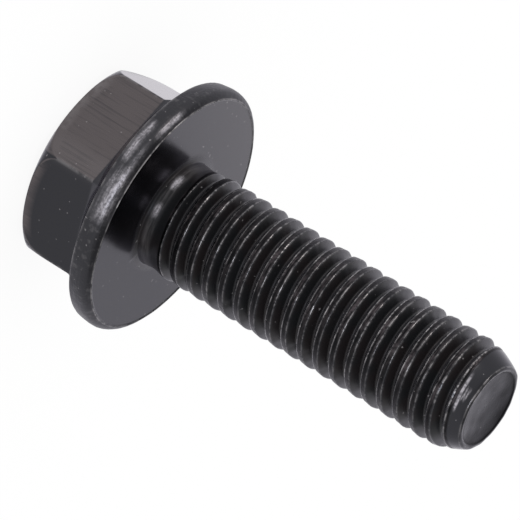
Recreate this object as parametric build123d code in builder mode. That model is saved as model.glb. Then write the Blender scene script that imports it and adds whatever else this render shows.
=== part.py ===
from build123d import *
from math import ceil, cos, pi, radians, sin, tan
import os

# A flange bolt, M6 x 20 with a 10 mm hexagon, cold-headed and thread-rolled from one piece of steel.
# It stands on its head with its shank up. The origin is the centre of the head's top face, +Z runs along
# the axis to the tip, and two flats of the hexagon face along Y.

os.makedirs("parts", exist_ok=True)

# Thread and shank: a metric coarse thread, rolled nearly up to the head.
thread_diameter = 6.0
pitch = 1.0
flank_angle = 30.0  # each flank, from square to the axis
shank_length = 20.0  # from the bearing face to the tip
neck_length = 0.75  # plain stretch under the head, where the groove starts
blank_diameter = 5.7  # the rolled blank, seen at the neck
runout_length = 1.0  # height over which the groove reaches its full depth
crest_height = 0.38  # from the bearing face up to the first crest on the +X side
crest_width = 0.3  # rolling leaves the crests flat and not quite filled

# Head: a hexagon that grows out of a thick flange.
across_flats = 10.0
head_height = 5.8  # from the head's top to the bearing face
end_chamfer_width = 0.47  # from the middle of a flat in to the head's flat top
end_chamfer_angle = 24.0  # slope of that chamfer, from the head's top
corner_round = 1.22
corner_run_angle = 80.0  # the slope at which the round runs out along the corners
foot_height = 1.05  # the hexagon's flared foot, down to the rim's edge
foot_flare = 30.0  # the foot's lean from the axis
flange_diameter = 13.74
flange_slope = 28.0
rim_height = 1.2  # from the bearing face to the rim's edge on the hexagon's side
rim_bulge = 0.07
bearing_diameter = 12.92
bearing_edge_height = 0.2
neck_cone_height = 0.35
neck_cone_reach = 0.28  # out from the blank, along the bearing face
neck_cone_sink = 0.09  # how far inside the neck its top edge lies

# The tapered point and the dish that rolling leaves in the end.
point_diameter = 4.6
point_taper = 27.0  # from the axis
dish_rim = 0.25
dish_depth = 0.3

# The groove is a V that takes up the pitch between two crests, so its depth follows from its flanks.
mouth_offset = (pitch - crest_width) / 2
thread_depth = mouth_offset / tan(radians(flank_angle))
crest_radius = thread_diameter / 2
root_radius = crest_radius - thread_depth
blank_radius = blank_diameter / 2

# One turn of the thread is laid out as a few arcs, so that each strip is a short, light surface.
arcs_per_turn = 3
points_per_arc = 12
nodes_per_groove = 3
spare_turns = 5  # what the rod keeps past the tip, to be cut away, stays within these

bearing_z = head_height
rim_z = bearing_z - rim_height
foot_z = rim_z - foot_height
tip_z = bearing_z + shank_length


def eased(share):
    """A smooth rise from 0 to 1 while the share runs from 0 to 1."""
    share = min(1.0, max(0.0, share))
    return share * share * (3 - 2 * share)


def groove_nodes(height):
    """The groove's section at a height: its mouth, root and mouth from below to above, as radius and height.

    Near the head the groove runs out: its mouth narrows, its root rises and the crests sink to the blank's
    own radius.
    """
    formed = eased((height - bearing_z - neck_length) / runout_length)
    mouth_radius = blank_radius + (crest_radius - blank_radius) * formed
    floor_radius = blank_radius + (root_radius - blank_radius) * formed
    half_mouth = mouth_offset * (0.4 + 0.6 * formed)
    return (mouth_radius, height - half_mouth), (floor_radius, height), (mouth_radius, height + half_mouth)


def helical_arc(first_groove, turn, arc, node):
    """One corner of the groove's section, carried round one arc of the right-hand helix."""
    points = []
    for step in range(points_per_arc + 1):
        share = (arc + step / points_per_arc) / arcs_per_turn
        radius, height = groove_nodes(first_groove + pitch * (turn + share))[node]
        points.append(Vector(radius * cos(2 * pi * share), radius * sin(2 * pi * share), height))
    return Edge.make_spline(points)


def helical_cap(lower_edges):
    """A spiral floor between the axis and the lower edge of one turn, with its step left open."""
    bottom = (lower_edges[0] @ 0).Z
    rise = pitch / arcs_per_turn
    faces = []
    for arc, edge in enumerate(lower_edges):
        axis = Edge.make_line((0, 0, bottom + rise * arc), (0, 0, bottom + rise * (arc + 1)))
        faces.append(Face.make_surface_from_curves(edge, axis))
    return faces


def threaded_rod(bottom, top):
    """A solid rod that covers the stretch from bottom to top, with its groove in strips along the helix."""
    groove_above_head = bearing_z + crest_height + pitch / 2
    first_groove = groove_above_head - pitch * (ceil((groove_above_head - bottom) / pitch) + 1)
    turns = ceil((top - first_groove) / pitch) + 1
    edges = {
        (turn, arc, node): helical_arc(first_groove, turn, arc, node)
        for turn in range(turns + 1)
        for arc in range(arcs_per_turn)
        for node in range(nodes_per_groove)
    }
    faces = []
    for turn in range(turns):
        for arc in range(arcs_per_turn):
            strip = [edges[turn, arc, node] for node in range(nodes_per_groove)]
            strip.append(edges[turn + 1, arc, 0])
            faces += [Face.make_surface_from_curves(low, high) for low, high in zip(strip, strip[1:])]
    for turn in (0, turns):
        faces += helical_cap([edges[turn, arc, 0] for arc in range(arcs_per_turn)])
    # Each cap is a spiral stair of one turn, so a flat step closes it where the turn meets itself.
    last = arcs_per_turn - 1
    low_step = [edges[0, 0, node] @ 0 for node in range(nodes_per_groove)] + [edges[1, 0, 0] @ 0]
    high_step = [edges[turns, 0, 0] @ 0]
    high_step += [edges[turns - 1, last, node] @ 1 for node in range(1, nodes_per_groove)]
    high_step += [edges[turns, last, 0] @ 1]
    for step in (low_step, high_step):
        on_axis = [Vector(0, 0, step[0].Z), Vector(0, 0, step[-1].Z)]
        faces.append(Face(Wire.make_polygon([on_axis[0], *step, on_axis[1]], close=True)))
    return Solid(Shell(faces))


# The hexagon, with a flared foot that the flange's cone swallows. Its free end has a shallow chamfer that
# rolls over into the corners, as a forging die leaves it.
with BuildPart() as hexagon:
    with BuildSketch():
        RegularPolygon(across_flats / 2, 6, major_radius=False)
    extrude(amount=rim_z)
    with BuildSketch(Plane.XY.offset(foot_z)):
        RegularPolygon(across_flats / 2, 6, major_radius=False)
    extrude(amount=foot_height, taper=-foot_flare)
    with BuildSketch(Plane.XZ):
        with BuildLine():
            top_edge = Line((0, 0), (across_flats / 2 - end_chamfer_width, 0))
            end_chamfer = PolarLine(
                top_edge @ 1, end_chamfer_width, end_chamfer_angle, length_mode=LengthMode.HORIZONTAL
            )
            over_corner = JernArc(
                end_chamfer @ 1, end_chamfer % 1, corner_round, corner_run_angle - end_chamfer_angle
            )
            corner_run = PolarLine(
                over_corner @ 1,
                foot_z - (over_corner @ 1).Y,
                corner_run_angle,
                length_mode=LengthMode.VERTICAL,
            )
            outer_radius = flange_diameter / 2
            Polyline(corner_run @ 1, (outer_radius, foot_z), (outer_radius, rim_z), (0, rim_z), (0, 0))
        make_face()
    revolve(axis=Axis.Z, mode=Mode.INTERSECT)

# The flange: a cone under the hexagon, a bulging rim, a bevel and the flat bearing face.
with BuildPart() as flange:
    rim_radius = flange_diameter / 2 - rim_bulge
    bevel_z = bearing_z - bearing_edge_height
    with BuildSketch(Plane.XZ):
        with BuildLine():
            cone = PolarLine(
                (rim_radius, rim_z), rim_radius, 180 + flange_slope, length_mode=LengthMode.HORIZONTAL
            )
            ThreePointArc(
                (rim_radius, rim_z), (flange_diameter / 2, (rim_z + bevel_z) / 2), (rim_radius, bevel_z)
            )
            Polyline((rim_radius, bevel_z), (bearing_diameter / 2, bearing_z), (0, bearing_z), cone @ 1)
        make_face()
    revolve(axis=Axis.Z)

# A small cone that leads the bearing face into the neck.
with BuildPart() as neck_ring:
    ring_foot = blank_radius + neck_cone_reach
    ring_top = blank_radius - neck_cone_sink
    ring_top_z = bearing_z + neck_cone_height
    with BuildSketch(Plane.XZ):
        with BuildLine():
            Polyline(
                (0, rim_z),
                (ring_foot, rim_z),
                (ring_foot, bearing_z),
                (ring_top, ring_top_z),
                (0, ring_top_z),
                close=True,
            )
        make_face()
    revolve(axis=Axis.Z)

# What the point's taper and the end's dish take off the rod.
with BuildPart() as point_cutter:
    point_radius = point_diameter / 2
    outside = crest_radius + pitch
    above = tip_z + spare_turns * pitch
    taper_z = tip_z - (outside - point_radius) / tan(radians(point_taper))
    dish_edge = point_radius - dish_rim
    with BuildSketch(Plane.XZ):
        with BuildLine():
            Polyline(
                (dish_edge, tip_z),
                (point_radius, tip_z),
                (outside, taper_z),
                (outside, above),
                (0, above),
                (0, tip_z - dish_depth),
            )
            Line((0, tip_z - dish_depth), (dish_edge, tip_z))
        make_face()
    revolve(axis=Axis.Z)

rod = threaded_rod(bottom=bearing_z - neck_cone_height, top=tip_z + pitch / 2)

with BuildPart() as flange_bolt:
    add(flange)
    add(hexagon)
    add(neck_ring)
    add(rod)
    add(point_cutter, mode=Mode.SUBTRACT)

flange_bolt.part.label = "flange_bolt"
export_step(flange_bolt.part, "parts/flange_bolt.step")
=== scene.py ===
# %% [markdown]
# # A flange bolt in blackened steel
# A cold-headed bolt with a rolled thread, dressed as one closed surface over the solid of the frame.
# The surface is worked out in millimetres, like the drawing of the part, and made metres at the end.

import bpy
import numpy as np
from mathutils import Matrix, Vector


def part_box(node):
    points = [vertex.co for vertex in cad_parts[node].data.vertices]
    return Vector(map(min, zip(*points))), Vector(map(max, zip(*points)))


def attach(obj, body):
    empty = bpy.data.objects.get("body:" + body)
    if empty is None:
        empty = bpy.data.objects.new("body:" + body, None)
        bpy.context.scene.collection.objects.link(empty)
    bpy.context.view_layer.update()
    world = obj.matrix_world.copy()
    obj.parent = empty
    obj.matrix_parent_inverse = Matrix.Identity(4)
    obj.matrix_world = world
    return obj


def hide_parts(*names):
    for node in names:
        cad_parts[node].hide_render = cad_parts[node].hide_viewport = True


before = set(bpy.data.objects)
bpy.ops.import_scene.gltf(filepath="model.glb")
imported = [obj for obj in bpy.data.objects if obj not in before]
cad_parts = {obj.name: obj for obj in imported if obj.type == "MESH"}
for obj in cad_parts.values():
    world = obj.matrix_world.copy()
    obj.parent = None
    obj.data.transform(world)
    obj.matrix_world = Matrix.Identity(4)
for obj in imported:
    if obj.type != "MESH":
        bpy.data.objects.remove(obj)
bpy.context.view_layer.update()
MM = 0.001
low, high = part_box("flange_bolt")
TIP = high[2] / MM
FLANGE = (high[0] - low[0]) / 2 / MM
print("the solid stands", round(TIP, 2), "mm high, with a flange of radius", round(FLANGE, 2))

# %% [markdown]
# Small tools for shapes: a smooth step, a rounded corner between two ramps, a bell, and a noise that is
# worked out from a point's place, so that a dent runs on across neighbouring rows of the surface.

# %% Shape helpers
SCATTER, SPREAD = np.array([127.1, 311.7, 74.7]), 43758.5453  # they turn a grid point into a random value
SEED_STEP = 17.13  # how far each seed moves the grid


def eased(x):
    """A smooth rise from 0 to 1 as x goes from 0 to 1: three x squared less two x cubed."""
    x = np.clip(x, 0, 1)
    return x * x * (3 - 2 * x)


def soft(x, width):
    """x where it is positive and 0 elsewhere, with the corner rounded over the width.

    It is half the sum of x and the root of x squared and the width squared.
    """
    return 0.5 * (x + np.sqrt(x * x + width * width))


def bump(x, centre, width):
    """A bell of height 1 about the centre: e to the minus square of the distance, counted in widths."""
    return np.exp(-(((x - centre) / width) ** 2))


def noise(points, cell, seed):
    """Smooth noise from -1 to 1: random values on a grid of the cell's size, blended with eased weights.

    A grid point's value is what stands behind the point in a large multiple of a sine.
    """
    spot = points / cell + seed * SEED_STEP
    base = np.floor(spot)
    part = eased(spot - base)
    total = 0
    for corner in np.ndindex(2, 2, 2):
        corner = np.array(corner)
        value = np.sin((base + corner) @ SCATTER) * SPREAD
        share = np.prod(np.where(corner == 1, part, 1 - part), axis=-1)
        total = total + share * (2 * (value - np.floor(value)) - 1)
    return total


print("a smooth step at a quarter of its way:", eased(0.25))

# %% [markdown]
# Columns run round the bolt. They crowd at the hexagon's six corners, which are the smallest rounds, and
# thin out along the flats; the same columns carry on up the shank so that head and shank are one skin.

# %% Columns round the axis
PER_SECTOR = 24
EVEN, CROWDED = 0.14, 0.86  # shares of even spacing and of spacing that grows away from a corner
step = np.arange(-PER_SECTOR // 2, PER_SECTOR // 2) / (PER_SECTOR / 2)
sector = np.sign(step) * (EVEN * np.abs(step) + CROWDED * step**2) * np.pi / 6
AROUND = np.sort(np.concatenate([sector + k * np.pi / 3 for k in range(6)]) % (2 * np.pi))
COLUMNS = len(AROUND)


def to_points(radius, height):
    """Points of a ring or row lattice from its radius and height."""
    angle = np.broadcast_to(AROUND, radius.shape)
    return np.stack([radius * np.cos(angle), radius * np.sin(angle), height], -1)


gaps = np.degrees(np.diff(AROUND))
print(COLUMNS, "columns,", gaps.min().round(2), "to", gaps.max().round(2), "degrees apart")

# %% [markdown]
# The head is forged: a hexagon grows out of a thick flange, and its free end has a shallow chamfer that rolls
# over into the corners. The bolt stands on its head, so heights run from the head's top (0) past the bearing
# face to the tip. The die for the free end is taken to have stood a little off the axis, which makes the
# chamfer wider on one side.

# %% Sizes of the head in millimetres
BEARING, BEARING_EDGE = 5.8, 6.5  # height and radius of the bearing face
FLATS = 5.0  # from the axis to a flat
TOP, END_SLOPE, END_RUN = 4.53, np.radians(24), np.radians(80)  # flat top, chamfer, steep end of the round
CORNER_ROUND, FLAT_LIFT = 1.22, 0.006  # the lift makes up for what the softened corners lose
DIE_SHIFT, DIE_SIDE = 0.06, np.radians(225)  # how far, and to which side, the end stands off the axis
FOOT, FLARE = 3.68, np.radians(30)  # where the foot begins to flare, and its lean
RIM, CONE, CONE_INSET = 4.6, np.radians(28), 0.1  # height of the cone's edge, its slope, how far in it ends
CORNER_SOFT, FOOT_SOFT, SIDE_SOFT = 0.03, 0.04, 0.05  # over how much each kind of corner is rounded
print("the head is", BEARING, "mm high and", 2 * FLATS, "mm across its flats")

# %% [markdown]
# Flats meet the end, the foot and the flange's cone in soft corners, which are worked out as softened minima
# and maxima of their distances from the axis. So the head's side is one function of height and angle.

# %% The head's side
def hexagon_radius(angle):
    """Distance from the axis to a hexagon with corners on the axis of x, and the corners rounded off.

    It is the distance of a flat over the cosine of the angle from its middle, kept softly below the corner's.
    """
    turn = (angle + np.pi / 6) % (np.pi / 3) - np.pi / 6
    near = FLATS / np.cos(np.pi / 6 - np.abs(turn))
    corner = FLATS / np.cos(np.pi / 6)
    return corner - soft(corner - near - FLAT_LIFT, CORNER_SOFT)


def end_outline():
    """Height and radius of the free end: the flat top, its chamfer, a round arc and a steep run outwards."""
    slope = np.linspace(END_SLOPE, END_RUN, 40)
    radius = FLATS + CORNER_ROUND * (np.sin(slope) - np.sin(END_SLOPE))
    height = (FLATS - TOP) * np.tan(END_SLOPE) + CORNER_ROUND * (np.cos(END_SLOPE) - np.cos(slope))
    run = np.tan(slope[-1])
    return np.array([0, *height, height[-1] + run]), np.array([TOP, *radius, radius[-1] + 1])


END_HEIGHT, END_RADIUS = end_outline()
END_SHIFT = DIE_SHIFT * np.cos(AROUND - DIE_SIDE)
SIDE = hexagon_radius(AROUND)
MEET = np.interp(SIDE - END_SHIFT, END_RADIUS, END_HEIGHT)


def side_radius(height):
    """Radius of the side at a height for every column: the smaller of flat and end, or the cone if larger."""
    end = np.interp(height, END_HEIGHT, END_RADIUS) + END_SHIFT
    foot = SIDE + np.tan(FLARE) * soft(height - FOOT, FOOT_SOFT)
    flank = foot - soft(foot - end, SIDE_SOFT)
    cone = FLANGE - CONE_INSET - (RIM - height) / np.tan(CONE)
    return cone + soft(flank - cone, SIDE_SOFT)


print("the flats begin", MEET.min().round(2), "to", MEET.max().round(2), "mm up")

# %% [markdown]
# The head is a stack of rings, each a radius and a height for every column. Rings follow the curve where the
# chamfer meets the flats, and crowd at every bend. The rim's profile is drawn point by point, from the edge
# of the cone over the bulge and the bevel to a thin burr that the die leaves round the bearing face.

# %% The head's rings
RIM_PROFILE = [  # radius and height
    (6.74, 4.585), (6.765, 4.6), (6.785, 4.62), (6.8, 4.66), (6.815, 4.74), (6.832, 4.84), (6.848, 4.95),
    (6.858, 5.06), (6.866, 5.18), (6.868, 5.28), (6.862, 5.37), (6.848, 5.45), (6.822, 5.53), (6.785, 5.6),
    (6.74, 5.66), (6.685, 5.71), (6.63, 5.75), (6.58, 5.778), (6.545, 5.792), (6.522, 5.802),
    (6.514, 5.819), (6.506, 5.836), (6.492, 5.842), (6.474, 5.82), (BEARING_EDGE - 0.045, BEARING),
]
BACK_RADIUS, BACK_HEIGHT = RIM_PROFILE[2]  # the rim's edge on the hexagon's side
TOP_INSET, TOP_CROWD, TOP_HOLLOW = 0.12, 0.8, 0.015  # the head's top is very slightly hollow
TOP_ROLL = (TOP - 0.03, 0.01)  # the ring where the top rolls over into the chamfer
ACROSS_MEET = (0.12, 0.25, 0.42, 0.6, 0.78, 0.9, 0.96, 1, 1.04, 1.1, 1.22)  # shares of the flats' beginning
ROUND_FOOT = (-0.15, -0.07, -0.02, 0.02, 0.07, 0.15, 0.26, 0.38, 0.5, 0.62, 0.74, 0.84, 0.9)  # from the foot
BEARING_START, BEARING_END = BEARING_EDGE - 0.1, 3.4


def head_rings():
    """Rings from the middle of the head's top to the neck, as arrays of radius and height."""
    every = np.ones_like(SIDE)
    shares = np.linspace(0, 1, 10)[1:]
    rows = [((TOP - TOP_INSET) * share**TOP_CROWD, TOP_HOLLOW * (1 - share)) for share in shares]
    rows.append(TOP_ROLL)
    rows += [(side_radius(MEET * share), MEET * share) for share in ACROSS_MEET]
    start, end = MEET * ACROSS_MEET[-1], FOOT + ROUND_FOOT[0]
    flats = [start + (end - start) * share for share in np.linspace(0, 1, 7)[1:-1]]
    foot = [(FOOT + height) * every for height in ROUND_FOOT]
    rows += [(side_radius(height), height) for height in flats + foot]
    rows += RIM_PROFILE
    rows += [(radius, BEARING) for radius in np.linspace(BEARING_START, BEARING_END, 16)]
    radius, height = zip(*((radius * every, height * every) for radius, height in rows))
    return np.array(radius), np.array(height)


head_radius, head_height = head_rings()
print(len(head_radius), "rings on the head")

# %% [markdown]
# The shank's outline, without its thread: a small fillet out of the bearing face, the blank's own radius,
# the crests' radius, a rounded taper, the raised rim of the end and the dish that rolling leaves in it.
# It is followed by a distance that equals the height on the shank, and runs on over the rim into the dish.

# %% The shank's outline
CREST, BLANK, NECK = 3.0, 2.85, 2.91  # radii of the crests, the blank and the neck's foot
FILLET, NECK_HEIGHT = 0.1, 0.8
GROOVE_START, RUNOUT = BEARING + 0.75, 0.9
TAPER_START, TAPER_LENGTH, TAPER_FALL, TAPER_POWER = 1.9, 1.8, 0.62, 1.5  # the start is back from the tip
LIP, LIP_WIDTH = 0.09, 0.15  # the raised rim of the end
DISH_STEP, DISH_DEPTH = 0.03, 0.17  # how far the dish's edge stands above the lip's foot, and its depth


def shank_outline():
    """Distance along the outline, radius and height, finely sampled from the bearing face to the dish.

    Fillet and rim are arcs. The wall rises from the blank to the crests with the thread, and falls away to
    the tip by a power of the distance. The dish is a parabola.
    """
    turn = np.linspace(0, 0.45 * np.pi, 24)
    fillet = np.stack([NECK + FILLET * (1 - np.sin(turn)), BEARING + FILLET * (1 - np.cos(turn))], 1)
    height = np.linspace(BEARING + FILLET, TIP - LIP, 1500)
    wall = BLANK + (CREST - BLANK) * eased((height - GROOVE_START) / RUNOUT)
    wall = wall + (NECK - BLANK) * (1 - eased((height - BEARING) / NECK_HEIGHT))
    taper = np.clip((height - TIP + TAPER_START) / TAPER_LENGTH, 0, None)
    wall = wall - TAPER_FALL * taper**TAPER_POWER
    turn = np.linspace(0, 0.88 * np.pi, 40)
    lip = np.stack([wall[-1] - LIP_WIDTH * (1 - np.cos(turn)), TIP - LIP + LIP * np.sin(turn)], 1)
    inner = np.linspace(lip[-1, 0] - 0.01, 0.01, 120)
    dish = np.stack([inner, TIP - LIP + DISH_STEP - DISH_DEPTH * (1 - (inner / lip[-1, 0]) ** 2)], 1)
    line = np.concatenate([fillet, np.stack([wall, height], 1), lip[1:], dish])
    along = np.concatenate([[0], np.cumsum(np.hypot(*np.diff(line, axis=0).T))])
    middle = slice(len(fillet), len(fillet) + len(height))
    along[middle] = height
    along[: middle.start] -= along[middle.start - 1] - height[0] + 0.01
    along[middle.stop :] += height[-1] + 0.005 - along[middle.stop]
    return along, line[:, 0], line[:, 1]


ALONG, OUT_RADIUS, OUT_HEIGHT = shank_outline()
print("outline from", ALONG[0].round(3), "to", ALONG[-1].round(3))

# %% [markdown]
# The shank's rows are one long spiral, like the thread itself, so that lips and flanks lie along rows and
# stay crisp. Where there is no thread the spiral closes up: each turn advances by only a little at the neck
# and over the end's rim. Within a turn the rows crowd on the crest, where the two lips are.

# %% The spiral's rows
PITCH = 1.0
FIRST_CREST = BEARING + 0.39  # height of the first crest on the side of +X
LAND, TIP_LAND = 0.205, 0.165  # half a crest's width in pitches, at the head and at the tip
ROWS = 21
LIP_CROWD, LIP_SPAN = 3, 0.05  # how much denser rows are at a lip, and over how much of a turn
PACE_AT = (ALONG[0], BEARING + 0.05, BEARING + 0.5, BEARING + 0.9, TIP - 0.5, TIP - 0.1, TIP + 0.5, ALONG[-1])
PACE = (0.06, 0.15, 0.6, PITCH, PITCH, 0.2, 0.35, 0.4)  # advance of a turn at each of these distances


def spiral():
    """For each row and column of the spiral, the distance along the outline that it has reached.

    Turns are the sum of distance over pace. A row's share of its turn comes from the sum of a density that
    peaks at both lips.
    """
    fine = np.linspace(ALONG[0], ALONG[-1], 20000)
    speed = np.interp(fine, PACE_AT, PACE)
    turns = np.concatenate([[0], np.cumsum(np.diff(fine) * 2 / (speed[1:] + speed[:-1]))])
    crest_turn = np.interp(FIRST_CREST + 9 * PITCH, fine, turns) % 1
    phase = np.linspace(0, 1, 2001)
    off = np.abs((phase - crest_turn + 0.5) % 1 - 0.5)
    density = 1 + LIP_CROWD * bump(off, LAND, LIP_SPAN)
    share = np.concatenate([[0], np.cumsum(0.5 * (density[1:] + density[:-1]))])
    within = np.interp(np.arange(ROWS) / ROWS, share / share[-1], phase)
    row = np.arange(int(turns[-1] * ROWS) - ROWS)
    start = row // ROWS + within[row % ROWS]
    wind = start[:, None] + AROUND[None, :] / (2 * np.pi)
    return np.interp(wind, turns, fine)


along = spiral()
print(len(along), "rows on the shank")

# %% [markdown]
# The rolled thread. A groove is a V with a rounded root, sunk below the outline. Rolling pushes the metal up
# on both sides of the groove, so each crest is two lips with a lower strip between them that never met the
# die. The lip on the head's side is a little lower. Near the head the groove narrows and runs out.

# %% The thread's section
DEPTH, FLANK_ANGLE = 0.55, np.radians(30)
ROOT_SOFT, EDGE_SOFT, CREST_SOFT = 0.1, 0.03, 0.012
HEAD_SIDE_DROP, STRIP_DIP = 0.05, 0.007  # how much lower the head's side lip and the strip lie
MOUTH_WANDER = 0.012  # how far a groove's mouth strays from its helix, in pitches
TIP_LIP, HEAD_LIP, HEAD_LIP_SHARE = (0.016, 0.036), (0.014, 0.028), 0.75  # place outside the mouth and width


def from_helix(height, start):
    """Signed distance in pitches from the nearest turn of the right-hand helix that begins at a height."""
    turn = (height - start) / PITCH - AROUND[None, :] / (2 * np.pi)
    return (turn + 0.5) % 1 - 0.5


def shank_surface(along):
    """Radius and height on the spiral, the shares of lip, strip and groove, and two places on the thread.

    The groove is centred half a pitch from the crest. Its depth is the way in from its mouth over the tangent
    of the flank's angle, softly kept above the root. The lips are bells just outside the mouth. The last two
    values are the height of the nearest groove's centre and the distance from the crest in pitches.
    """
    radius = np.interp(along, ALONG, OUT_RADIUS)
    height = np.interp(along, ALONG, OUT_HEIGHT)
    on_wall = eased((TIP - 0.25 - along) / 0.3)
    off = from_helix(height, FIRST_CREST + PITCH / 2)
    crest = from_helix(height, FIRST_CREST)
    centre = height - off * PITCH
    formed = eased((centre - GROOVE_START) / RUNOUT) * eased((TIP - 0.5 - centre) / 0.5)
    land = np.interp(height, [BEARING, TIP], [LAND, TIP_LAND])
    wander = MOUTH_WANDER * noise(to_points(np.full_like(height, CREST), height), 0.4, 7)
    beside = np.abs(off) - ((0.5 - land) * (0.45 + 0.55 * formed) + wander)
    sunk = soft(-beside * PITCH / np.tan(FLANK_ANGLE), EDGE_SOFT)
    sunk = DEPTH - soft(DEPTH - sunk, ROOT_SOFT)
    lower = HEAD_SIDE_DROP * eased(0.5 - crest / (2 * land))
    thread = np.minimum(CREST, radius + 0.12) - (sunk + lower) * formed
    strip = eased((beside - 0.025) / 0.045) * formed * on_wall
    out = radius - soft(radius - thread, CREST_SOFT) * on_wall - STRIP_DIP * strip
    lip = np.where(crest > 0, bump(beside, *TIP_LIP), HEAD_LIP_SHARE * bump(beside, *HEAD_LIP))
    return out, height, lip * formed * on_wall, strip, sunk / DEPTH * formed * on_wall, centre, crest


shank_radius, shank_height, lips, strips, grooves, centre, crest = shank_surface(along)
root = shank_radius[grooves > 0.9].min()
print("the thread lies between radius", root.round(2), "and", shank_radius.max().round(2))

# %% [markdown]
# A forged rim and rolled lips are never quite even, so small dents move their vertices in and out. The raised
# rim of the end gets the deepest ones, because the blank's cut edge folds over there.

# %% Points and dents
head_points = to_points(head_radius, head_height)
shank_points = to_points(shank_radius, shank_height)
forged_rim = eased((head_height - 4.5) / 0.1) * eased((head_radius - BEARING_EDGE + 0.06) / 0.03)
head_dent = forged_rim * (0.01 * noise(head_points, 0.45, 1) + 0.018 * noise(head_points, 1.7, 2))
head_points[..., :2] *= (1 + head_dent / head_radius)[..., None]
at_rim = bump(along, TIP + 0.02, 0.14)
shank_dent = 0.012 * lips * noise(shank_points, 0.22, 3) + 0.008 * strips * noise(shank_points, 0.13, 4)
shank_dent = shank_dent + 0.03 * at_rim * noise(shank_points, 0.4, 5)
shank_points[..., :2] *= (1 + shank_dent / shank_radius)[..., None]
shank_points[..., 2] += 0.02 * at_rim * (noise(shank_points, 0.5, 6) - 1)
print("the deepest dent in the shank is", np.abs(shank_dent).max().round(3), "mm")

# %% [markdown]
# Head and shank are joined into one closed skin: rings on the head, a single bridging round of faces, the
# spiral, and fans that close the middle of the head's top and of the dish.

# %% The skin's faces
def quads(a, b, c, d):
    """Faces with four corners, from four equally shaped arrays of vertex numbers."""
    return np.stack([a.ravel(), b.ravel(), c.ravel(), d.ravel()], 1).tolist()


def fan(middle, first, second):
    """Triangles between a middle vertex and pairs of neighbours, from two arrays of vertex numbers."""
    return np.stack([np.full_like(first, middle), first, second], 1).tolist()


def skin_faces(rings, rows, end):
    """All faces of the skin: the vertex numbers are the head's middle, rings, rows, and the dish's middle.

    Faces join each vertex to the next in its ring and the one above. A row's last column goes on in the first
    column of the row that lies one turn further.
    """
    ring = 1 + np.arange(rings * COLUMNS).reshape(rings, COLUMNS)
    row = ring[-1, -1] + 1 + np.arange(rows * COLUMNS).reshape(rows, COLUMNS)
    after = np.roll(ring, -1, axis=1)
    faces = fan(0, after[0], ring[0])
    faces += quads(ring[:-1], after[:-1], after[1:], ring[1:])
    faces += quads(row[:-1, :-1], row[:-1, 1:], row[1:, 1:], row[1:, :-1])
    faces += quads(row[: -ROWS - 1, -1], row[ROWS:-1, 0], row[ROWS + 1 :, 0], row[1:-ROWS, -1])
    faces += quads(ring[-1, :-1], ring[-1, 1:], row[0, 1:], row[0, :-1])
    faces.append(np.concatenate([ring[-1, [-1, 0]], row[: ROWS + 1, 0], row[:1, -1]]).tolist())
    border = np.concatenate([row[-1], row[-2 : -ROWS - 2 : -1, -1], row[-1:, 0]])
    return faces + fan(end, border[:-1], border[1:])


MIDDLE_SINK = 0.004  # how much deeper than its first ring the top's middle lies

top_middle = np.array([[0, 0, head_height[0].mean() + MIDDLE_SINK]])
dish_middle = np.array([[0, 0, OUT_HEIGHT[-1]]])
points = np.concatenate([top_middle, head_points.reshape(-1, 3), shank_points.reshape(-1, 3), dish_middle])
faces = skin_faces(len(head_points), len(shank_points), len(points) - 1)
print(len(points), "vertices and", len(faces), "faces")

# %% [markdown]
# Handling wears the black off wherever an edge stands proud. Each vertex keeps how far it belongs to each
# kind of place, as marks from 0 to 1 that the material turns into bare metal, painted light, roughness and
# grain. On the head these are worn edges, the flats that a spanner has rubbed with a painted highlight line
# where they begin, painted highlight streaks on the rim, and painted sheen: one flat painted light like a
# mirror's reflection, the bearing face painted lighter on one side than the other, and a thin painted
# highlight down the rubbed flat.

# %% The head's marks
WORN_SIDE = -85  # azimuths here are in degrees
RUBBED_FLAT, NEXT_FLAT, PAINTED_REFLECTION_FLAT, BACK_FLAT = -90, -30, -150, 90
FLAT_HALF, FLAT_FADE = 29.6, 0.6  # half of the angle that a flat fills, and its mark's fade
# Painted highlights: streaks on the rolled-over rim, painted in a light steel colour.
PAINTED_STREAKS = (  # strength; azimuth, half the angle and fade; height and spread
    (1.3, (-100, 8, 4), (5.62, 0.1)),
    (1, (-86, 10, 5), (4.95, 0.16)),
    (0.78, (-60, 11, 8), (5.35, 0.38)),
    (0.35, (-74, 10, 8), (5.5, 0.15)),
)


def around(centre, half, fade):
    """1 within half the angle of a centre azimuth and 0 outside, in degrees, with a faded end."""
    off = (np.degrees(AROUND) - centre + 180) % 360 - 180
    return eased((half - np.abs(off)) / fade + 0.5)


def on_flat(centre):
    """1 on the flat that faces an azimuth."""
    return around(centre, FLAT_HALF, FLAT_FADE)


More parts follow.
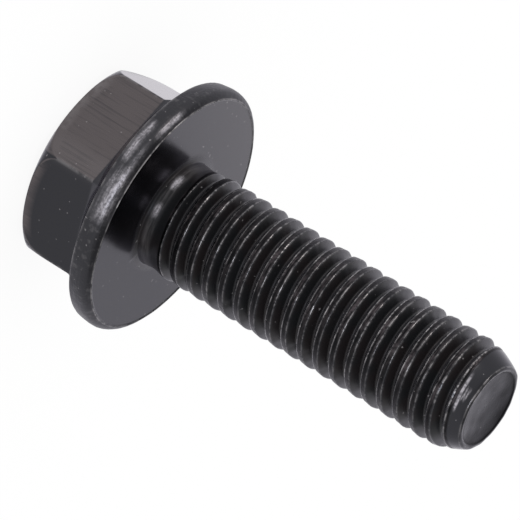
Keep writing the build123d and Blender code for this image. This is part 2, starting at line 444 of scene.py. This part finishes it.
def head_marks():
    """Marks of every vertex of the head's rings, by name.

    Each is a sum of bells in height and radius, which follow an edge or a band, times a window in azimuth.
    """
    below_foot, above_meet = head_height < FOOT, head_height > MEET
    rim_edge = bump(head_height, BEARING, 0.035) * bump(head_radius, BEARING_EDGE, 0.035)
    back_edge = bump(head_height, BACK_HEIGHT, 0.05) * bump(head_radius, BACK_RADIUS, 0.05)
    # meet is a painted highlight line just above where the flats begin; it lightens the worn edge and the
    # rubbed flats there.
    meet_highlight = bump(head_height - MEET, 0.07, 0.05) * below_foot
    turn = (AROUND + np.pi / 6) % (np.pi / 3) - np.pi / 6
    upright = bump(turn * FLATS, 0, 0.07) * below_foot * above_meet
    edge = rim_edge * (0.7 + 1.8 * around(WORN_SIDE + 4, 26, 8)) + 0.3 * back_edge
    edge = edge + 0.25 * upright + 0.2 * meet_highlight * around(-100, 24, 6)
    to_foot = eased((FOOT - head_height + 0.05) / 0.1)
    flats = to_foot * eased((head_height - MEET) / 0.1)
    rub_and_highlight = (1 - 0.25 * eased((MEET - head_height) / 0.1) + 0.9 * meet_highlight) * to_foot
    rub_and_highlight = rub_and_highlight * (on_flat(RUBBED_FLAT) + 0.4 * on_flat(BACK_FLAT) + 0.6 * on_flat(NEXT_FLAT) * meet_highlight)
    # Painted highlight streaks on the rim.
    painted_streak = sum(k * around(*window) * bump(head_height, *band) for k, window, band in PAINTED_STREAKS)
    painted_streak = painted_streak * eased((head_radius - BEARING_EDGE) / 0.03)
    face = eased((BEARING_EDGE - head_radius) / 0.05) * (head_height > 5)
    # Painted sheen: a painted reflection that makes one flat light like a mirror, the bearing face painted
    # lighter on one side and darker on the other, and a thin painted highlight down the rubbed flat.
    painted_sheen = 0.85 * on_flat(PAINTED_REFLECTION_FLAT) * flats + face * (0.03 - 0.016 * head_radius * np.cos(AROUND))
    painted_sheen = painted_sheen + 0.05 * around(-66, 6, 10) * flats
    return {"edge": edge, "rub_and_highlight": rub_and_highlight, "painted_streak": painted_streak, "painted_sheen": painted_sheen, "forged": forged_rim}


on_head = head_marks()
print("marks on the head:", ", ".join(on_head))

# %% [markdown]
# On the shank the marks are the end's edges, the thread's lips, the rough strip between them with its scars,
# the grooves, the neck's dull band and painted highlights on the neck, the taper and the crests near the tip.
# Wear is strongest on the side of the rubbed flat.
# Grooves and the unformed neck are shaded: nothing has rubbed them, so their black is matt. The dish counts
# as strip, because it never met a die either.

# %% The shank's marks
def shank_marks():
    """Marks of every vertex of the spiral, by name.

    Each is a bell or an eased band along the outline, times a window in azimuth. Noise breaks some of them.
    """
    edge = bump(along, TIP - 0.04, 0.05) + 0.6 * bump(along, TIP + 0.13, 0.04)
    edge = edge * (0.3 + 0.7 * around(WORN_SIDE, 28, 24))
    unformed = eased((1 - eased((centre - GROOVE_START) / RUNOUT)) / 0.3) * (1 - lips)
    shade = np.maximum(eased((grooves - 0.05) / 0.08), unformed)
    dull = 0.6 + 0.35 * noise(shank_points, 0.6, 9) + 0.5 * bump(along, TIP + 0.28, 0.1)
    rough = np.maximum(strips, dull * eased((along - TIP - 0.2) / 0.1))
    worn_and_painted_lip = lips * (0.45 + 0.55 * around(WORN_SIDE, 38, 30)) * (1 - eased((along - TIP + 0.75) / 0.3))
    # The lips on the head's side are painted lighter and those on the tip's side darker, which stands in for
    # how light falls on them.
    worn_and_painted_lip = worn_and_painted_lip * np.where(crest > 0, 0.7, 1.7) * (0.85 + 0.6 * noise(shank_points, 0.55, 10))
    ragged = 0.35 + 0.65 * eased(noise(shank_points, 0.8, 11) + 0.5)
    scar = strips * (along < TIP - 0.6) * ragged * (0.2 + 0.8 * around(WORN_SIDE + 5, 30, 30))
    neck = 0.2 * eased((BEARING + 0.8 - along) / 0.2) * eased((along - BEARING - 0.3) / 0.1)
    neck = neck + 0.24 * bump(along, BEARING + 0.3, 0.1)
    # Painted highlights: streaks on the neck, two lines on the taper and a patch on the crests near the tip.
    painted_spots = bump(along, BEARING + 0.42, 0.13) * (1.6 * around(-97, 7, 10) + 1.1 * around(-61, 6, 9))
    wander = along + 0.05 * noise(shank_points, 0.5, 8)
    on_taper = bump(wander, TIP - 0.38, 0.035) + bump(wander, TIP - 0.52, 0.03)
    painted_spots = painted_spots + on_taper * around(-67, 7, 7)
    painted_spots = painted_spots + 1.8 * bump(crest, 0.13, 0.05) * bump(along, TIP - 0.65, 0.3) * around(-68, 20, 10)
    marks = {"edge": edge, "painted_streak": painted_spots, "neck": neck, "shade": shade, "lip": worn_and_painted_lip}
    return marks | {"strip": rough, "groove": grooves, "scar": scar}


on_shank = shank_marks()
print("marks on the shank:", ", ".join(on_shank))

# %% [markdown]
# The mesh object itself. Its origin stays at the frame's origin, and its faces are smooth. Every mark becomes
# an attribute of the mesh, which is 0 where the head or the shank doesn't have it. A closed skin without
# holes through it has two more vertices and faces together than edges, which is what the cell counts.

# %% The bolt
MARKS = ("edge", "lip", "strip", "groove", "rub_and_highlight", "forged", "painted_streak", "painted_sheen", "neck", "shade", "scar")
mesh = bpy.data.meshes.new("bolt_skin")
mesh.from_pydata((points * MM).tolist(), [], faces)
mesh.update()
mesh.polygons.foreach_set("use_smooth", np.ones(len(mesh.polygons), dtype=bool))
for name in MARKS:
    head_values = on_head.get(name, np.zeros_like(head_radius))
    shank_values = on_shank.get(name, np.zeros_like(shank_radius))
    values = np.concatenate([[0], head_values.ravel(), shank_values.ravel(), [0]]).astype(np.float32)
    mesh.attributes.new(name, "FLOAT", "POINT").data.foreach_set("value", values)
closed = len(mesh.vertices) - len(mesh.edges) + len(mesh.polygons) == 2
print("valid:", not mesh.validate(), "closed:", closed, "triangles:", sum(len(face) - 2 for face in faces))
bolt = bpy.data.objects.new("bolt", mesh)
bpy.context.scene.collection.objects.link(bolt)
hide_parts("flange_bolt")
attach(bolt, "root")

# %% [markdown]
# Materials are sums of sockets. A wrapped socket can be added, subtracted and multiplied like a number, and
# every other kind of node goes through one method.

# %% Sockets as numbers
class Value:
    """A socket of a node tree. Each operator adds a Math node and wraps what comes out of it."""

    def __init__(self, tree, socket=None):
        self.tree, self.socket = tree, socket

    def node(self, kind, inputs, output=0, **settings):
        """Adds a node of a kind, links or sets its inputs by name or number, and wraps one output."""
        made = self.tree.nodes.new("ShaderNode" + kind)
        for name, value in settings.items():
            setattr(made, name, value)
        for key, value in inputs.items():
            if isinstance(value, Value):
                self.tree.links.new(value.socket, made.inputs[key])
            else:
                made.inputs[key].default_value = value
        return Value(self.tree, made.outputs[output])

    def math(self, operation, first, second):
        """A Math node that does the operation on the two."""
        return self.node("Math", {0: first, 1: second}, operation=operation)

    def __add__(self, other):
        return self.math("ADD", self, other)

    def __sub__(self, other):
        return self.math("SUBTRACT", self, other)

    def __rsub__(self, other):
        return self.math("SUBTRACT", other, self)

    def __mul__(self, other):
        return self.math("MULTIPLY", self, other)

    __radd__, __rmul__ = __add__, __mul__

    def most(self, other):
        """The larger of the two."""
        return self.math("MAXIMUM", self, other)

    def ramp(self, start, end, low=0.0, high=1.0):
        """A smooth change from low to high as the value goes from start to end."""
        inputs = {"Value": self, "From Min": start, "From Max": end, "To Min": low, "To Max": high}
        return self.node("MapRange", inputs, interpolation_type="SMOOTHSTEP")

    def between(self, first, second):
        """A colour from the first to the second as the value goes from 0 to 1."""
        return self.node("Mix", {0: self, 6: first, 7: second}, 2, data_type="RGBA")

    def feed(self, node, name):
        """Links the value to an input of a finished node."""
        self.tree.links.new(self.socket, node.inputs[name])


def new_material(name):
    """A material with nodes, and its node tree."""
    made = bpy.data.materials.new(name)
    made.use_nodes = True
    return made, made.node_tree


# %% [markdown]
# Blackened steel is a thin black oxide over bare metal, and one Principled shader carries both. Patterns come
# from two sources: the marks of the mesh, and noise on object coordinates. The noise is cloudy, fine,
# chipped, drawn along the axis as a spanner's jaws leave it, or brushed round the bolt as dies leave it.

# %% Marks and grains as values
steel, tree = new_material("blackened_steel")
shader = tree.nodes["Principled BSDF"]
start = Value(tree)
place = start.node("TexCoord", {}, "Object")


def share_of(name):
    """One of the mesh's marks as a value."""
    return start.node("Attribute", {}, "Fac", attribute_name=name)


def grain(scale, detail=2.0, stretch=(1, 1, 1), at=(0, 0, 0)):
    """Noise with a number of waves to the millimetre, stretched and shifted, mostly from 0.3 to 0.7."""
    spot = start.node("Mapping", {"Vector": place, "Location": at, "Scale": [s / MM for s in stretch]})
    return start.node("TexNoise", {"Vector": spot, "Scale": scale, "Detail": detail})


edge, lip, strip, groove, rub_and_highlight, forged, painted_streak, painted_sheen, neck, shade, scar = map(share_of, MARKS)
cloud = grain(0.5)
fine = grain(7.0, 3.0)
drawn = grain(8.0, 4.0, (1, 1, 0.04))
chips = grain(2.4, 3.0, at=(4, 2, 1))
brushed = grain(2.4, 5.0, (0.45, 0.45, 3.5), (3, 8, 2))
specks = (grain(5.5, 0.0, at=(9, 3, 5)) + 0.035 * forged).ramp(0.82, 0.85)
print("marks and grains take", len(tree.nodes), "nodes")

# %% [markdown]
# Colour. The spanner has rubbed one flat to a brownish grey with marks along the bolt. Edges, lips and small
# nicks show the steel underneath, and painted highlight streaks and painted sheen lighten the rim, the neck,
# the taper, one flat and the bearing face. Where nothing has rubbed, the oxide is matt: there the metal is
# taken away and a black body is left, and Layer Weight paints a sheen back, a lighter grey and more metal,
# where the surface turns away from the eye.

# %% The steel's colour
OXIDE, RUBBED, BARE_AND_SHEEN = (0.039, 0.039, 0.044, 1), (0.105, 0.093, 0.096, 1), (0.42, 0.4, 0.41, 1)
FLANK, COOL_FLANK, GRAZING_SHEEN = (0.0105, 0.0085, 0.009, 1), (0.0078, 0.0082, 0.0092, 1), (0.1, 0.097, 0.11, 1)
SCALE, SCARRED, PAINTED_HIGHLIGHT = (0.009, 0.009, 0.01, 1), (0.08, 0.068, 0.074, 1), (0.44, 0.42, 0.455, 1)

rubbed = rub_and_highlight * (2.2 * drawn + 0.5 * cloud - 0.35)
wear_and_sheen = edge * chips.ramp(0.38, 0.6, 0.15, 1.0) + lip * (0.5 * chips + 0.5 * fine).ramp(0.42, 0.58, 0.08, 0.95)
wear_and_sheen = wear_and_sheen + forged * chips.ramp(0.55, 0.7, 0.01, 0.1) + 0.35 * specks
# The painted sheen joins the wear here, in the same light steel colour.
wear_and_sheen = wear_and_sheen + painted_sheen + neck * brushed.ramp(0.35, 0.65, 0.08, 0.4)
scarred = scar * brushed.ramp(0.38, 0.62) * fine.ramp(0.35, 0.6, 0.4, 1.0)
# Painted highlight streaks, the lightest colour of the steel.
painted_streak_share = 1.15 * painted_streak * brushed.ramp(0.36, 0.6, 0.4, 1.0) * fine.ramp(0.4, 0.58, 0.5, 1.0)
# Painted sheen: towards the outline the matt black is painted a lighter grey and made more metal.
grazing_sheen = 0.7 * start.node("LayerWeight", {"Blend": 0.5}, "Facing").ramp(0.35, 0.62)
flank = grazing_sheen.between(cloud.ramp(0.4, 0.6).between(FLANK, COOL_FLANK), GRAZING_SHEEN)

base = shade.between(rubbed.between(OXIDE, RUBBED), flank)
for share, colour in ((strip, SCALE), (scarred, SCARRED), (wear_and_sheen, BARE_AND_SHEEN), (painted_streak_share, PAINTED_HIGHLIGHT)):
    base = share.between(base, colour)
base.feed(shader, "Base Color")
(1 - shade * (1 - grazing_sheen)).feed(shader, "Metallic")
shader.inputs["IOR"].default_value = 1.33
shader.inputs["Specular Tint"].default_value = (0.96, 0.945, 1, 1)
print("with its colour the steel has", len(tree.nodes), "nodes")

# %% [markdown]
# Gloss and relief. The flats are the smoothest. The forged rim, the neck and the strip are coarser, and a
# Bump node adds their grain, which is too fine to be worth vertices.

# %% The steel's gloss and relief
RELIEF = 0.00002  # in metres

coarse = forged.most(strip).most(neck)
rough = 0.18 + 0.15 * shade + 0.2 * coarse + 0.12 * rub_and_highlight * drawn + 0.05 * fine
rough.feed(shader, "Roughness")
coarse = coarse * (1 - 0.6 * strip)
height = fine * (0.02 + 0.8 * coarse + 0.1 * groove) + 0.6 * drawn * rub_and_highlight + 0.9 * brushed * coarse
relief = start.node("Bump", {"Height": height, "Distance": RELIEF, "Strength": 1.0}, "Normal")
relief.feed(shader, "Normal")
mesh.materials.append(steel)
print("blackened steel has", len(tree.nodes), "nodes")

# %% [markdown]
# A pale floor under the head. Camera and mirror rays find it nearly white, and it keeps a soft shadow,
# because a share of it stays a matt surface that only receives light.

# %% Floor
WHITE, FLOOR_HALF, FLOOR_GLOW = (1, 1, 1, 1), 3, 0.92

floor_mesh = bpy.data.meshes.new("floor")
corners = [(x * FLOOR_HALF, y * FLOOR_HALF, 0) for x, y in ((-1, -1), (1, -1), (1, 1), (-1, 1))]
floor_mesh.from_pydata(corners, [], [(0, 1, 2, 3)])
floor = bpy.data.objects.new("floor", floor_mesh)
bpy.context.scene.collection.objects.link(floor)
paper, tree = new_material("paper")
tree.nodes.clear()
start = Value(tree)
seen = start.node("LightPath", {}, "Is Camera Ray").most(start.node("LightPath", {}, "Is Glossy Ray"))
glow = start.node("Emission", {"Color": WHITE, "Strength": 1.0})
matt = start.node("BsdfDiffuse", {"Color": WHITE})
blend = start.node("MixShader", {0: FLOOR_GLOW * seen, 1: matt, 2: glow})
blend.feed(tree.nodes.new("ShaderNodeOutputMaterial"), "Surface")
floor_mesh.materials.append(paper)
print("the floor is", 2 * FLOOR_HALF, "m wide")

# %% [markdown]
# The surroundings are an even white for the camera and for diffuse light. Only mirror rays see them fall off
# towards the zenith, like a studio whose walls are lit and whose ceiling is dim, which models the dish and
# the rounds of the flange.

# %% Surroundings
ZENITH = 0.33  # brightness overhead, where the horizon has 1

world = bpy.data.worlds.new("surroundings")
bpy.context.scene.world = world
world.use_nodes = True
tree = world.node_tree
start = Value(tree)
upward = start.node("SeparateXYZ", {0: start.node("TexCoord", {}, "Generated")}, "Z")
sky = upward.ramp(0.35, 0.9, 1.0, ZENITH)
for ray in ("Is Camera Ray", "Is Diffuse Ray"):
    sky = sky.most(start.node("LightPath", {}, ray))
sky.feed(tree.nodes["Background"], "Strength")
tree.nodes["Background"].inputs["Color"].default_value = WHITE
print("the surroundings have", len(tree.nodes), "nodes")

# %% [markdown]
# Two small soft lamps, a warm one and a cool one, low on either side of the camera. They add faint
# highlights to the rolled-over rim and the neck; the bright streaks there are painted into the steel's
# colour.

# %% Lamps
LAMPS = (("warm_lamp", -128, (1, 0.93, 0.85)), ("cool_lamp", -53, (0.85, 0.92, 1)))  # azimuth and colour
POWER, LAMP_SIZE = 0.15, 0.08
LAMP_DISTANCE, LAMP_RISE, LAMP_AIM = 0.4, np.radians(8), Vector((0, 0, 0.008))


def toward(azimuth, elevation):
    """The unit vector that points to an azimuth and an elevation."""
    flat = np.cos(elevation)
    return Vector((np.cos(azimuth) * flat, np.sin(azimuth) * flat, np.sin(elevation)))


def stand(name, data, aim, back, distance, roll=0.0):
    """An object at a distance from its aim along the vector called back, looking at the aim, and rolled."""
    made = bpy.data.objects.new(name, data)
    turn = back.to_track_quat("Z", "Y").to_matrix() @ Matrix.Rotation(-roll, 3, "Z")
    made.matrix_world = Matrix.Translation(aim + distance * back) @ turn.to_4x4()
    bpy.context.scene.collection.objects.link(made)
    return made


for name, azimuth, colour in LAMPS:
    lamp = bpy.data.lights.new(name, "AREA")
    lamp.size, lamp.energy, lamp.color = LAMP_SIZE, POWER, colour
    holder = stand(name, lamp, LAMP_AIM, toward(np.radians(azimuth), LAMP_RISE), LAMP_DISTANCE)
    holder.visible_camera = False
    print(name, "stands at", [round(x, 3) for x in holder.matrix_world.translation])

# %% [markdown]
# The camera stands far off with a long lens, as for a catalogue picture, and is rolled so that the shank
# points down to the right.

# %% The camera
AZIMUTH, ELEVATION, ROLL = np.radians([-67.245, 22.680, -121.711])
DISTANCE, LENS = 0.62814, 872.5
AIM = Vector((-0.276, -0.116, 11.171)) * MM

view = bpy.data.cameras.new("camera")
view.sensor_width, view.lens = 36, LENS
view.clip_start, view.clip_end = 0.01, 10
camera = stand("camera", view, AIM, toward(AZIMUTH, ELEVATION), DISTANCE, ROLL)
bpy.context.scene.camera = camera
bpy.context.scene.view_settings.view_transform = "Standard"
print("the camera stands at", [round(x, 3) for x in camera.matrix_world.translation])
